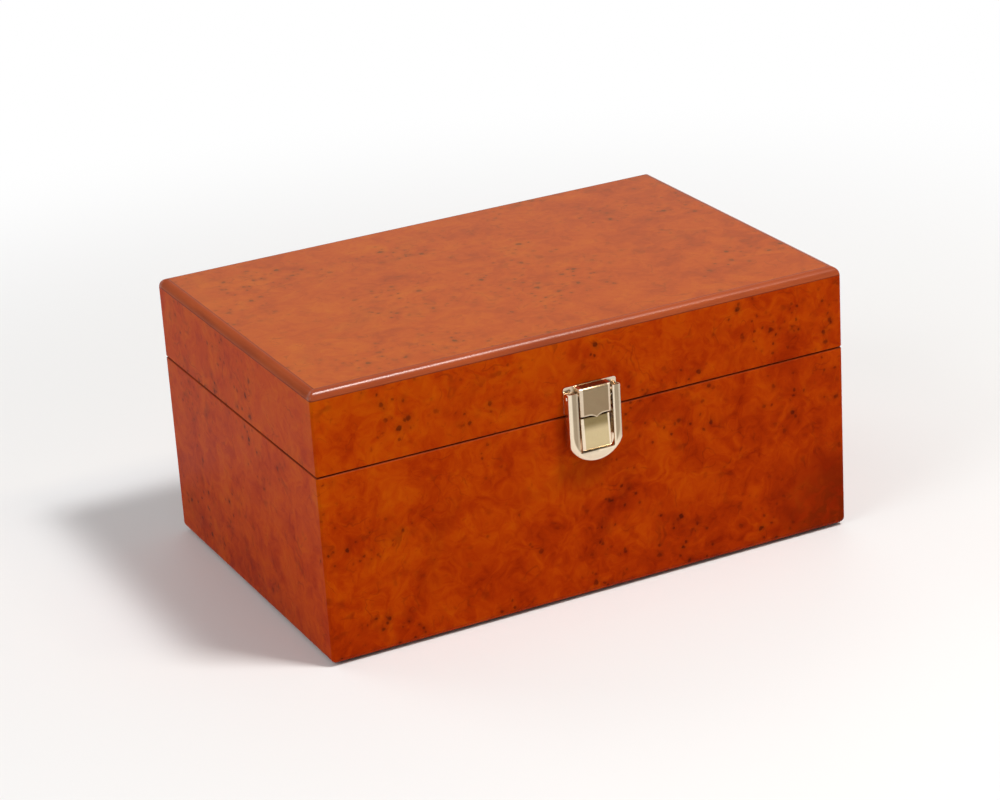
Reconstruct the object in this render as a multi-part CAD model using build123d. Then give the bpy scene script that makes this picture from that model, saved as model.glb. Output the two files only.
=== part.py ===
from build123d import *
import os
from math import atan2, cos, degrees, radians, sin, tan

# A lidded wooden box for chess pieces, in millimetres. X runs along the front, Y from the front to the
# back, Z up. The origin is the middle of the underside. The base and the lid are mitred boards, the
# inside is lined with baize, two stop hinges carry the lid and a snap clip on the front holds it shut.

# Carcass
WIDTH = 240.0  # across the front
DEPTH = 160.0  # front to back
HEIGHT = 117.0  # felt to lid top
SEAM_Z = 81.5  # middle of the gap between base and lid
SEAM_GAP = 0.4
WALL = 8.0
TOP_THICK = 9.0
BOTTOM_THICK = 5.0
REBATE = 4.0  # how far the bottom board reaches under the walls
CORNER_R = 1.2  # upright corners
TOP_R = 3.7  # round along the four edges of the lid
FOOT_R = 3.0  # round along the bottom edges
RIM_EASE = 0.4  # small chamfer along the edges beside the seam
FELT = 0.8  # felt sheet under the box
FELT_INSET = 7.0  # from the carcass edge
FELT_R = 5.0

# Inside
LINING = 1.2  # baize on the walls, the floor and the lid
LINING_DROP = 1.5  # from the rims to the edge of the wall lining
DIVIDER_THICK = 5.0
DIVIDER_DROP = 13.0  # from the base rim down to the divider board
DIVIDER_GROOVE = 2.0  # depth of its housing in the front and back boards
DIVIDER_COVER = 0.8

# Hinges
HINGE_LENGTH = 30.0
HINGE_INSET = 48.0  # from the side of the box to the middle of a hinge
KNUCKLES = 5
KNUCKLE_R = 2.2
KNUCKLE_GAP = 0.15
KNUCKLE_OFF = 0.2  # from the back of the box to the barrel
PIN_R = 1.0
RUN_FIT = 0.05  # radial clearance of every pin, screw and nail
FASTENER_SIDES = 12  # screws, nails and their holes repeat, so they have flat sides
LEAF_THICK = 1.2
LEAF_WIDTH = 6.8  # from the back of the box into the rim
LEAF_FIT = 0.1  # round the leaf in its recess
LID_OPEN = 95.0  # degrees, where the wings of the two leaves meet
WING_REACH = 2.4  # from the barrel to the edge of a wing
WING_GAP = 0.25  # between a wing and the other leaf's knuckles
WING_SLACK = 0.6  # degrees left between the wings at the stop

# Screws of the hinges
SCREW_R = 1.0
SCREW_HEAD_R = 1.9
SCREW_HEAD = 0.9
SCREW_LENGTH = 9.0
SCREW_POINT = 1.5
SCREW_TIP_R = 0.2
SCREW_PITCH = 16.0
SLOT_WIDTH = 0.5
SLOT_DEPTH = 0.4

# Clip on the front: heights are from the seam, outward distances from the front of the box
CLIP_WIDTH = 24.0
CLIP_SHEET = 0.8
CLIP_FIT = 0.2  # between the hasp and the flat plates behind it
HASP_TOP = 10.8
HASP_SHOULDER = 12.6  # below the seam, where the sides begin to round
HASP_BOTTOM = 20.1
HASP_CORNER_R = 4.0
HASP_FRONT = 5.4
HASP_EDGE_R = 1.2
HASP_LIFT = 2.0  # how much shallower the rounded end is, for a fingertip
WINDOW_WIDTH = 15.8
WINDOW_BOTTOM = 15.3
SNAP_LIP = 2.5  # how far the lower edge of the window is turned in
SNAP_LIP_WIDTH = 13.0
PIVOT_OUT = 3.2
CLIP_PIN_R = 0.8
CLIP_PIN_PROUD = 0.3  # past the outer faces of the hasp
PLATE_TOP = 12.5
PLATE_BOTTOM = 0.8
PLATE_CORNER_R = 1.0
BLOCK_WIDTH = 14.4
BLOCK_TOP = 12.3
BLOCK_BOTTOM = 0.4
BLOCK_FRONT = 5.8
BLOCK_EDGE_R = 1.4
POINT_WIDTH = 6.4  # pointed tab on the lower edge of the raised block
POINT_DROP = 1.3
POINT_HOLLOW = (0.45, 0.32)  # shares of its half width and drop where its sides bend
CATCH_WIDTH = 13.6
CATCH_TOP = 0.6
CATCH_BOTTOM = 14.6
CATCH_FRONT = 4.7
CATCH_SLOPE = 4.0  # degrees that its face turns down
CATCH_EDGE_R = 1.2
RIDGE_R = 0.5  # ridge under the catch that the lip of the window snaps past
RIDGE_OUT = 2.2
RIDGE_WIDTH = 10.0
CATCH_PLATE_WIDTH = 20.0
CATCH_PLATE_BOTTOM = 18.0
CATCH_PLATE_R = 5.0
NAIL_R = 0.6
NAIL_HEAD_R = 1.2
NAIL_HEAD = 0.6
NAIL_CROWN_R = 0.6  # flat in the middle of the domed head
NAIL_LENGTH = 6.5
NAIL_POINT = 1.2
NAIL_TIP_R = 0.1
NAIL_UP = 3.4  # nails of the lid plate above its lower edge
NAIL_DOWN = 4.0  # side nails of the catch below the seam

# Places worked out from the sizes above
BASE_RIM = SEAM_Z - SEAM_GAP / 2
LID_RIM = SEAM_Z + SEAM_GAP / 2
LID_WALL_TOP = HEIGHT - TOP_THICK
INSIDE_X = WIDTH - 2 * WALL
INSIDE_Y = DEPTH - 2 * WALL
FLOOR_Z = FELT + BOTTOM_THICK
DIVIDER_Z = BASE_RIM - DIVIDER_DROP
COVERED_DIVIDER = DIVIDER_THICK + 2 * DIVIDER_COVER
HINGE_X = {"left": -(WIDTH / 2 - HINGE_INSET), "right": WIDTH / 2 - HINGE_INSET}
AXIS_OFF = KNUCKLE_OFF + KNUCKLE_R
WING_R = KNUCKLE_R + WING_REACH
HASP_BACK = CLIP_SHEET + CLIP_FIT
PIVOT_UP = HASP_TOP - (PIVOT_OUT - HASP_BACK)
NAIL_SIDE = (BLOCK_WIDTH + CLIP_WIDTH) / 4
PLATE_NAILS = [(s * NAIL_SIDE, PLATE_BOTTOM + NAIL_UP) for s in (-1, 1)]
CATCH_SIDE = (CATCH_WIDTH + CATCH_PLATE_WIDTH) / 4
CATCH_LOW = (CATCH_BOTTOM + CATCH_PLATE_BOTTOM) / 2
CATCH_NAILS = [(s * CATCH_SIDE, -NAIL_DOWN) for s in (-1, 1)] + [(0, -CATCH_LOW)]
CUT = 1.0  # how far a cutting tool runs past the face that it cuts

# Frame of the clip: across, height from the seam, distance out from the front of the box
CLIP = Plane(origin=(0, -DEPTH / 2, SEAM_Z), x_dir=(1, 0, 0), z_dir=(0, -1, 0)).location


def block(x, y, z):
    """A box between the two ends given for each axis."""
    size = [abs(end - start) for start, end in (x, y, z)]
    middle = [(start + end) / 2 for start, end in (x, y, z)]
    return Pos(*middle) * Box(*size)


def middle_block(width, depth, z):
    """A box of this width and depth about the Z axis, between two heights."""
    return block((-width / 2, width / 2), (-depth / 2, depth / 2), z)


def cross_bar(radius, half, y, z):
    """A round bar along X, as far to both sides, at this place in Y and Z."""
    return Pos(0, y, z) * Rot(0, 90, 0) * Cylinder(radius, 2 * half)


def flat_sided(*rings):
    """A form that narrows upwards through rings of radius, to the flats, and height."""
    form = Part()
    for (radius, z), (next_radius, next_z) in zip(rings, rings[1:]):
        ring = Pos(0, 0, z) * RegularPolygon(radius, FASTENER_SIDES, major_radius=False)
        slant = degrees(atan2(radius - next_radius, next_z - z))
        form += extrude(ring, next_z - z, taper=slant)
    return form


# Wooden boards


def mitre_wedge(side):
    """The space of one wall: its ends run at 45 degrees through the upright corners."""
    out_x, out_y = WIDTH / 2 + CUT, DEPTH / 2 + CUT
    in_x, in_y = WIDTH / 2 - WALL - CUT, DEPTH / 2 - WALL - CUT
    if side in ("front", "back"):
        s = -1 if side == "front" else 1
        corners = [(-out_x, s * out_y), (out_x, s * out_y), (in_x, s * in_y), (-in_x, s * in_y)]
    else:
        s = -1 if side == "left" else 1
        corners = [(s * out_x, -out_y), (s * in_x, -in_y), (s * in_x, in_y), (s * out_x, out_y)]
    return extrude(make_face(Polyline(*corners, close=True)), HEIGHT, dir=(0, 0, 1))


def rounded_carcass(z, level, radius):
    """A block of the box's outline with its upright corners and its top or bottom edges rounded."""
    solid = middle_block(WIDTH, DEPTH, z)
    for round_now in sorted({radius, CORNER_R}, reverse=True):
        edges = solid.edges().filter_by(Axis.Z)
        if round_now == radius:
            edges = solid.faces().sort_by(Axis.Z)[level].edges()
        solid = fillet(edges, round_now)
    return solid


def ease_rim(solid, level):
    return chamfer(solid.faces().sort_by(Axis.Z)[level].edges(), RIM_EASE)


def base_walls():
    """The four walls of the base in one, before they are parted at the mitres."""
    walls = ease_rim(rounded_carcass((FELT, BASE_RIM), 0, FOOT_R), -1)
    walls -= middle_block(INSIDE_X, INSIDE_Y, (FELT - CUT, BASE_RIM + CUT))
    walls -= middle_block(INSIDE_X + 2 * REBATE, INSIDE_Y + 2 * REBATE, (FELT - CUT, FLOOR_Z))
    walls -= middle_block(DIVIDER_THICK, INSIDE_Y + 2 * DIVIDER_GROOVE, (FLOOR_Z, DIVIDER_Z))
    for x in HINGE_X.values():
        walls -= leaf_recess(x, BASE_RIM, -1)
        walls -= screws_at(x, -1, RUN_FIT)
    return walls - [CLIP * hole for hole in nails(CATCH_NAILS, RUN_FIT)]


def lid_walls():
    """The four walls of the lid in one, before they are parted at the mitres."""
    walls = middle_block(WIDTH, DEPTH, (LID_RIM, LID_WALL_TOP))
    walls = ease_rim(fillet(walls.edges().filter_by(Axis.Z), CORNER_R), 0)
    walls -= middle_block(INSIDE_X, INSIDE_Y, (LID_RIM - CUT, LID_WALL_TOP + CUT))
    for x in HINGE_X.values():
        walls -= leaf_recess(x, LID_RIM, 1)
        walls -= screws_at(x, 1, RUN_FIT)
    return walls - [CLIP * hole for hole in nails(PLATE_NAILS, RUN_FIT)]


def lid_top():
    """The top board lies on the lid's walls, rounded along all four edges."""
    return rounded_carcass((LID_WALL_TOP, HEIGHT), -1, TOP_R)


def base_bottom():
    """The bottom board fills the rebate in the feet of the walls."""
    return middle_block(INSIDE_X + 2 * REBATE, INSIDE_Y + 2 * REBATE, (FELT, FLOOR_Z))


def divider_board():
    return middle_block(DIVIDER_THICK, INSIDE_Y + 2 * DIVIDER_GROOVE, (FLOOR_Z, DIVIDER_Z))


# Baize and felt


def divider_cover():
    """Baize folded over the divider, down to the floor on both sides."""
    cover = middle_block(COVERED_DIVIDER, INSIDE_Y, (FLOOR_Z, DIVIDER_Z + DIVIDER_COVER))
    return cover - divider_board()


def base_wall_lining():
    """A strip round the inside of the base, slit where the divider passes through it."""
    z = (FLOOR_Z, BASE_RIM - LINING_DROP)
    strip = middle_block(INSIDE_X, INSIDE_Y, z)
    strip -= middle_block(INSIDE_X - 2 * LINING, INSIDE_Y - 2 * LINING, (z[0] - CUT, z[1] + CUT))
    return strip - middle_block(COVERED_DIVIDER, INSIDE_Y + CUT, (z[0] - CUT, DIVIDER_Z + DIVIDER_COVER))


def floor_lining(side):
    """The sheet on the floor of one compartment, -1 on the left and 1 on the right."""
    x = (side * COVERED_DIVIDER / 2, side * (INSIDE_X / 2 - LINING))
    half = INSIDE_Y / 2 - LINING
    return block(x, (-half, half), (FLOOR_Z, FLOOR_Z + LINING))


def lid_wall_lining():
    z = (LID_RIM + LINING_DROP, LID_WALL_TOP)
    strip = middle_block(INSIDE_X, INSIDE_Y, z)
    return strip - middle_block(INSIDE_X - 2 * LINING, INSIDE_Y - 2 * LINING, (z[0] - CUT, z[1] + CUT))


def lid_top_lining():
    width, depth = INSIDE_X - 2 * LINING, INSIDE_Y - 2 * LINING
    return middle_block(width, depth, (LID_WALL_TOP - LINING, LID_WALL_TOP))


def underside_felt():
    sheet = middle_block(WIDTH - 2 * FELT_INSET, DEPTH - 2 * FELT_INSET, (0, FELT))
    return fillet(sheet.edges().filter_by(Axis.Z), FELT_R)


# Hinges: each leaf is built about the middle of its pin, across, outward from the back, up


def screw(side, spare):
    """A countersunk wood screw from a rim, pointing down (-1) or up (1), grown all round by spare."""
    form = flat_sided(
        (SCREW_HEAD_R + spare, 0),
        (SCREW_R + spare, SCREW_HEAD),
        (SCREW_R + spare, SCREW_LENGTH - SCREW_POINT),
        (SCREW_TIP_R + spare, SCREW_LENGTH + spare),
    )
    if not spare:
        half = SCREW_HEAD_R + CUT
        form -= block((-half, half), (-SLOT_WIDTH / 2, SLOT_WIDTH / 2), (-CUT, SLOT_DEPTH))
    return form if side > 0 else Rot(180, 0, 0) * form


def screws_at(x, side, spare=0.0):
    """The two screws of one leaf, in place in the rim."""
    rim = LID_RIM if side > 0 else BASE_RIM
    y = DEPTH / 2 - WALL / 2
    return [Pos(x + s * SCREW_PITCH / 2, y, rim) * screw(side, spare) for s in (-1, 1)]


def leaf_recess(x, rim, side):
    """The recess in a rim that lets a leaf lie flush, open at the back of the box."""
    half = HINGE_LENGTH / 2 + LEAF_FIT
    y = (DEPTH / 2 - LEAF_WIDTH - LEAF_FIT, DEPTH / 2 + CUT)
    return block((x - half, x + half), y, (rim - side * CUT, rim + side * LEAF_THICK))


def knuckle_ends(first):
    """Ends along the pin of every second knuckle, from this one on."""
    pitch = HINGE_LENGTH / KNUCKLES
    starts = [i * pitch - HINGE_LENGTH / 2 for i in range(first, KNUCKLES, 2)]
    return [(start + KNUCKLE_GAP / 2, start + pitch - KNUCKLE_GAP / 2) for start in starts]


def barrel(radius, ends, grow=0.0):
    start, end = ends
    length = end - start + 2 * grow
    return Pos((start + end) / 2, 0, 0) * Rot(0, 90, 0) * Cylinder(radius, length)


def wing(side, inner, ends):
    """The stop of a leaf: a sector behind the barrel, from upright to half the opening angle."""
    angles = (side * 90.0, side * (LID_OPEN + WING_SLACK) / 2)
    steps = [angles[0], sum(angles) / 2, angles[1]]
    rim = [(WING_R * cos(radians(a)), WING_R * sin(radians(a))) for a in steps]
    root = [(inner * cos(radians(a)), inner * sin(radians(a))) for a in steps]
    outline = [
        ThreePointArc(*rim),
        Line(rim[2], root[2]),
        ThreePointArc(*reversed(root)),
        Line(root[0], rim[0]),
    ]
    start, end = ends
    return Pos(start, 0, 0) * extrude(Plane.YZ * make_face(outline), end - start, dir=(1, 0, 0))


def hinge_leaf(x, side):
    """One leaf with its knuckles and its stop wing: the base's (-1) or the lid's (1)."""
    whole = (-HINGE_LENGTH / 2, HINGE_LENGTH / 2)
    own, other = knuckle_ends(0 if side < 0 else 1), knuckle_ends(1 if side < 0 else 0)
    z = (side * SEAM_GAP / 2, side * (SEAM_GAP / 2 + LEAF_THICK))
    leaf = block(whole, (-AXIS_OFF - LEAF_WIDTH, 0), z)
    leaf += wing(side, KNUCKLE_R + WING_GAP, whole)
    leaf -= [barrel(KNUCKLE_R + WING_GAP, ends, KNUCKLE_GAP) for ends in other]
    for ends in own:
        leaf += barrel(KNUCKLE_R, ends)
        leaf += wing(side, KNUCKLE_R / 2, ends)
    leaf -= barrel(PIN_R + RUN_FIT, whole, CUT)
    leaf = Pos(x, DEPTH / 2 + AXIS_OFF, SEAM_Z) * leaf
    return leaf - screws_at(x, side, RUN_FIT)


def hinge_pin(x):
    """A plain pin, flush with the ends of the barrel."""
    return Pos(x, 0, 0) * cross_bar(PIN_R, HINGE_LENGTH / 2, DEPTH / 2 + AXIS_OFF, SEAM_Z)


# Clip: its pieces are drawn in the clip's own frame, x across, y up from the seam, z outwards


def nail(x, y, spare=0.0):
    """A domed nail through a flat plate into the wood, grown all round by spare."""
    shank = flat_sided(
        (NAIL_R + spare, 0),
        (NAIL_R + spare, NAIL_LENGTH - NAIL_POINT),
        (NAIL_TIP_R + spare, NAIL_LENGTH + spare),
    )
    form = Rot(180, 0, 0) * shank
    if not spare:
        form += flat_sided((NAIL_HEAD_R, 0), (NAIL_HEAD_R, NAIL_HEAD / 2), (NAIL_CROWN_R, NAIL_HEAD))
    return Pos(x, y, CLIP_SHEET) * form


def nails(places, spare=0.0):
    return [nail(x, y, spare) for x, y in places]


def clip_bore():
    return cross_bar(CLIP_PIN_R + RUN_FIT, CLIP_WIDTH, PIVOT_UP, PIVOT_OUT)


def hasp():
    """A pressed frame, open at the top, that hangs on the pin and closes over the catch."""
    half = CLIP_WIDTH / 2
    sides = Polyline((-half, -HASP_SHOULDER), (-half, HASP_TOP), (half, HASP_TOP), (half, -HASP_SHOULDER))
    end = ThreePointArc((half, -HASP_SHOULDER), (0, -HASP_BOTTOM), (-half, -HASP_SHOULDER))
    outline = make_face([sides, end])
    outline = fillet(outline.vertices().sort_by(Axis.Y)[:2], HASP_CORNER_R)
    shell = Pos(0, 0, HASP_BACK) * extrude(outline, HASP_FRONT - HASP_BACK)
    front = shell.faces().sort_by(Axis.Z)[-1].edges()
    shell = fillet(front.sort_by(Axis.Y)[:-1], HASP_EDGE_R)
    behind = (HASP_BACK - CUT, HASP_FRONT - CLIP_SHEET)
    hollow = offset(outline, -CLIP_SHEET)
    shell -= Pos(0, 0, behind[0]) * extrude(hollow, behind[1] - behind[0])
    inner = half - CLIP_SHEET
    shell -= block((-inner, inner), (0, HASP_TOP + CUT), behind)
    opening = WINDOW_WIDTH / 2
    shell -= block((-opening, opening), (-WINDOW_BOTTOM, HASP_TOP + CUT), (0, HASP_FRONT + CUT))
    # The arms end in a half round about the pin, and only the front sheet runs on to the top.
    ends = block((-half - CUT, half + CUT), (PIVOT_UP, HASP_TOP + CUT), behind)
    shell -= ends - cross_bar(PIVOT_OUT - HASP_BACK, half + 2 * CUT, PIVOT_UP, PIVOT_OUT)
    low = (-HASP_BOTTOM - CUT, -HASP_SHOULDER)
    shell -= block((-half - CUT, half + CUT), low, (0, HASP_BACK + HASP_LIFT))
    lip = SNAP_LIP_WIDTH / 2
    y = (-WINDOW_BOTTOM - CLIP_SHEET, -WINDOW_BOTTOM)
    shell += block((-lip, lip), y, (behind[1] - SNAP_LIP, behind[1]))
    return shell - clip_bore()


def lid_plate():
    """The plate on the lid: two flat ears and a raised block that carries the pin."""
    half = CLIP_WIDTH / 2
    plate = block((-half, half), (PLATE_BOTTOM, PLATE_TOP), (0, CLIP_SHEET))
    plate = fillet(plate.edges().filter_by(Axis.Z), PLATE_CORNER_R)
    side = BLOCK_WIDTH / 2
    raised = block((-side, side), (BLOCK_BOTTOM, BLOCK_TOP), (0, BLOCK_FRONT))
    front = raised.faces().sort_by(Axis.Z)[-1].edges().sort_by(Axis.Y)[1:]
    raised = fillet(front, BLOCK_EDGE_R)
    inside = side - CLIP_SHEET
    behind = (-CUT, BLOCK_FRONT - CLIP_SHEET)
    plate = plate + raised + pointed_tab()
    plate -= block((-inside, inside), (BLOCK_BOTTOM - POINT_DROP - CUT, BLOCK_TOP - CLIP_SHEET), behind)
    return plate - clip_bore() - nails(PLATE_NAILS, RUN_FIT)


def pointed_tab():
    """The shallow point in the middle of the raised block's lower edge, each side a hollow curve."""
    half, top, tip = POINT_WIDTH / 2, BLOCK_BOTTOM, BLOCK_BOTTOM - POINT_DROP
    bend = (half * POINT_HOLLOW[0], top - POINT_DROP * POINT_HOLLOW[1])
    outline = [
        Line((-half, top), (half, top)),
        ThreePointArc((half, top), bend, (0, tip)),
        ThreePointArc((0, tip), (-bend[0], bend[1]), (-half, top)),
    ]
    tab = extrude(make_face(outline), CLIP_SHEET, dir=(0, 0, 1))
    return Pos(0, 0, BLOCK_FRONT - CLIP_SHEET) * tab


def catch_block(wall, back):
    """The catch's raised block, or with a wall its inside, whose face turns down by the slope."""
    top, bottom = -CATCH_TOP - wall, -CATCH_BOTTOM + wall
    fall = (top - bottom) * tan(radians(CATCH_SLOPE))
    front = CATCH_FRONT - wall
    outline = [(top, back), (top, front), (bottom, front - fall), (bottom, back)]
    profile = make_face(Polyline(*outline, close=True))
    return extrude(Plane.YZ * profile, CATCH_WIDTH / 2 - wall, both=True)


def catch():
    """The plate on the base with the raised block that the hasp's window closes over."""
    half = CATCH_PLATE_WIDTH / 2
    plate = block((-half, half), (-CATCH_PLATE_BOTTOM, -CATCH_TOP), (0, CLIP_SHEET))
    corners = plate.edges().filter_by(Axis.Z).sort_by(Axis.Y)
    plate = fillet(corners[:2], CATCH_PLATE_R)
    plate = fillet(plate.edges().filter_by(Axis.Z).sort_by(Axis.Y)[-2:], PLATE_CORNER_R)
    raised = catch_block(0, 0)
    face = raised.faces().sort_by(Axis.Z)[-1]
    raised = fillet(face.edges(), CATCH_EDGE_R)
    raised += cross_bar(RIDGE_R, RIDGE_WIDTH / 2, -CATCH_BOTTOM, RIDGE_OUT)
    return plate + raised - catch_block(CLIP_SHEET, -CUT) - nails(CATCH_NAILS, RUN_FIT)


def clip_pin():
    """The pin that the hasp turns on, a little proud of both arms."""
    return cross_bar(CLIP_PIN_R, CLIP_WIDTH / 2 + CLIP_PIN_PROUD, PIVOT_UP, PIVOT_OUT)


# All sub-parts by name

base, lid = base_walls(), lid_walls()
parts = {}
for side in ("front", "back", "left", "right"):
    parts["base_" + side] = base & mitre_wedge(side)
    parts["lid_" + side] = lid & mitre_wedge(side)
parts["base_bottom"] = base_bottom()
parts["lid_top"] = lid_top()
parts["divider_board"] = divider_board()
parts["divider_cover"] = divider_cover()
parts["base_wall_lining"] = base_wall_lining()
parts["floor_lining_left"] = floor_lining(-1)
parts["floor_lining_right"] = floor_lining(1)
parts["lid_wall_lining"] = lid_wall_lining()
parts["lid_top_lining"] = lid_top_lining()
parts["underside_felt"] = underside_felt()
for side, x in HINGE_X.items():
    parts[f"hinge_{side}_base_leaf"] = hinge_leaf(x, -1)
    parts[f"hinge_{side}_lid_leaf"] = hinge_leaf(x, 1)
    parts[f"hinge_{side}_pin"] = hinge_pin(x)
parts["hinge_base_screws"] = [s for x in HINGE_X.values() for s in screws_at(x, -1)]
parts["hinge_lid_screws"] = [s for x in HINGE_X.values() for s in screws_at(x, 1)]
parts["clip_hasp"] = CLIP * hasp()
parts["clip_lid_plate"] = CLIP * lid_plate()
parts["clip_catch"] = CLIP * catch()
parts["clip_pin"] = CLIP * clip_pin()
parts["clip_lid_nails"] = [CLIP * pin for pin in nails(PLATE_NAILS)]
parts["clip_catch_nails"] = [CLIP * pin for pin in nails(CATCH_NAILS)]

os.makedirs("parts", exist_ok=True)
for name, part in parts.items():
    if isinstance(part, list):
        part = Compound(children=part)
    export_step(part, f"parts/{name}.step")
    print(name, round(part.volume, 1))
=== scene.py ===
from math import atan2, cos, pi, radians, sin

import bpy
from mathutils import Matrix, Vector


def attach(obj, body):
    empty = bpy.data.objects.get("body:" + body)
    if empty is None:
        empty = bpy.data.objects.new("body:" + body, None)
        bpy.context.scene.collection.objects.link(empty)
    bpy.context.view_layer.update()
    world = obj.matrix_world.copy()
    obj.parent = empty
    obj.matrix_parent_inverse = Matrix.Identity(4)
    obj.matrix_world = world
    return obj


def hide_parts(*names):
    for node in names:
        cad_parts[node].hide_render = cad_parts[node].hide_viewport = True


# A lidded box for chess pieces: burl veneer under a red-orange lacquer, a snap clip of pressed and plated
# metal on the front, two stop hinges on the back and green baize inside. Lengths are in millimetres
# unless a comment says otherwise, and MM turns them into the scene's metres.

MM = 0.001

# Carcass, as the CAD has it
WIDTH, DEPTH, HEIGHT = 240.0, 160.0, 117.0
SEAM = 81.5
WALL = 8.0
TOP_R = 3.7  # the lid's rounded edges
FELT = 0.8

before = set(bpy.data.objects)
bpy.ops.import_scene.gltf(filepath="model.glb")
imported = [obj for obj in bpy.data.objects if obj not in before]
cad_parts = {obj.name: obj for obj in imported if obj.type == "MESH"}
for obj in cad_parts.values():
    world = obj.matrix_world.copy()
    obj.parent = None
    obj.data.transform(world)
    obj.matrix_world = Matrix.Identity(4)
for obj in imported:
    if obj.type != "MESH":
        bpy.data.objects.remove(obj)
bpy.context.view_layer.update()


# Finishes

# A Mix node that is set to colours has its factor, its two colours and its result at these sockets
COLOUR_MIX_INPUTS = (0, 6, 7)
COLOUR_MIX_RESULT = 2


def opaque(value):
    """A colour of three numbers gets its alpha, and anything else stays as it is."""
    return (*value, 1.0) if isinstance(value, tuple) else value


def seen_straight(tree):
    """A socket that is 1 for what the camera sees by itself, in a mirror or through glass, and else 0."""
    rays = tree.nodes.new("ShaderNodeLightPath").outputs
    seen = rays["Is Camera Ray"]
    for name in ("Is Glossy Ray", "Is Transmission Ray"):
        either = tree.nodes.new("ShaderNodeMath")
        either.operation = "MAXIMUM"
        tree.links.new(seen, either.inputs[0])
        tree.links.new(rays[name], either.inputs[1])
        seen = either.outputs[0]
    return seen


class Finish:
    """A material built node by node. What varies over the surface is passed on as a socket."""

    def __init__(self, name):
        self.material = bpy.data.materials.new(name)
        self.material.use_nodes = True
        self.nodes = self.material.node_tree.nodes
        self.links = self.material.node_tree.links
        self.shader = self.nodes["Principled BSDF"]
        self.place = self.nodes.new("ShaderNodeTexCoord").outputs["Object"]

    def put(self, socket, value):
        """Links the socket to another one, or sets it to a plain value."""
        if isinstance(value, bpy.types.NodeSocket):
            self.links.new(value, socket)
        else:
            socket.default_value = value

    def math(self, operation, *values):
        """One Math node."""
        node = self.nodes.new("ShaderNodeMath")
        node.operation = operation
        for socket, value in zip(node.inputs, values):
            self.put(socket, value)
        return node.outputs[0]

    def times(self, value, *others):
        """The product of all these values."""
        for other in others:
            value = self.math("MULTIPLY", value, other)
        return value

    def highest(self, value, *others):
        """The highest of all these values."""
        for other in others:
            value = self.math("MAXIMUM", value, other)
        return value

    def scaled(self, value, factor, plus):
        """The value times the factor, plus something."""
        return self.math("MULTIPLY_ADD", value, factor, plus)

    def size(self, value):
        """The value without its sign."""
        return self.math("ABSOLUTE", value)

    def axes(self):
        """The three coordinates of a point of the surface, in metres."""
        node = self.nodes.new("ShaderNodeSeparateXYZ")
        self.put(node.inputs[0], self.place)
        return node.outputs

    def stretched(self, x, y, z):
        """The place with its axes multiplied, so that a pattern is drawn out along the small ones."""
        node = self.nodes.new("ShaderNodeMapping")
        self.put(node.inputs["Vector"], self.place)
        node.inputs["Scale"].default_value = (x, y, z)
        return node.outputs[0]

    def noise(self, scale, detail=2.0, roughness=0.5, distortion=0.0, place=None, colour=False):
        """A cloudy pattern with this many clouds to the metre."""
        node = self.nodes.new("ShaderNodeTexNoise")
        self.put(node.inputs["Vector"], place or self.place)
        node.inputs["Scale"].default_value = scale
        node.inputs["Detail"].default_value = detail
        node.inputs["Roughness"].default_value = roughness
        node.inputs["Distortion"].default_value = distortion
        return node.outputs["Color" if colour else "Fac"]

    def cells(self, scale, place):
        """How far it is to the nearest of many strewn points, 1 being the width of a cell."""
        node = self.nodes.new("ShaderNodeTexVoronoi")
        self.put(node.inputs["Vector"], place)
        node.inputs["Scale"].default_value = scale
        return node.outputs["Distance"]

    def warped(self, amount, scale):
        """The place pushed about by a soft noise, by up to this many metres."""
        push = self.nodes.new("ShaderNodeVectorMath")
        push.operation = "MULTIPLY_ADD"
        self.put(push.inputs[0], self.noise(scale, 3.0, colour=True))
        push.inputs[1].default_value = (amount,) * 3
        self.put(push.inputs[2], self.place)
        return push.outputs[0]

    def near(self, point, reach):
        """1 at this point, in metres, falling softly to 0 at the reach."""
        node = self.nodes.new("ShaderNodeVectorMath")
        node.operation = "DISTANCE"
        self.put(node.inputs[0], self.place)
        node.inputs[1].default_value = point
        return self.step(node.outputs["Value"], reach, 0.0)

    def step(self, value, low, high):
        """0 below low and 1 above high, soft in between; the other way round where low is above high."""
        node = self.nodes.new("ShaderNodeMapRange")
        node.interpolation_type = "SMOOTHSTEP"
        for socket, number in zip(node.inputs, (value, low, high)):
            self.put(socket, number)
        return node.outputs[0]

    def ramp(self, factor, *stops):
        """A colour that runs through these stops, each a position and a colour."""
        node = self.nodes.new("ShaderNodeValToRGB")
        self.put(node.inputs[0], factor)
        elements = node.color_ramp.elements
        while len(elements) < len(stops):
            elements.new(0.5)
        for element, (position, colour) in zip(elements, stops):
            element.position, element.color = position, (*colour, 1.0)
        return node.outputs[0]

    def blend(self, factor, first, second):
        """The first colour at 0 and the second at 1."""
        node = self.nodes.new("ShaderNodeMix")
        node.data_type = "RGBA"
        for socket, value in zip(COLOUR_MIX_INPUTS, (factor, first, second)):
            self.put(node.inputs[socket], opaque(value))
        return node.outputs[COLOUR_MIX_RESULT]

    def bump(self, height, depth):
        """A relief whose full height is this depth, in metres."""
        node = self.nodes.new("ShaderNodeBump")
        node.inputs["Distance"].default_value = depth
        self.put(node.inputs["Height"], height)
        return node.outputs[0]

    def done(self, **inputs):
        """Sets the shader's inputs, with _ for a blank in their names, and gives the material."""
        for name, value in inputs.items():
            self.put(self.shader.inputs[name.replace("_", " ")], opaque(value))
        return self.material


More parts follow.
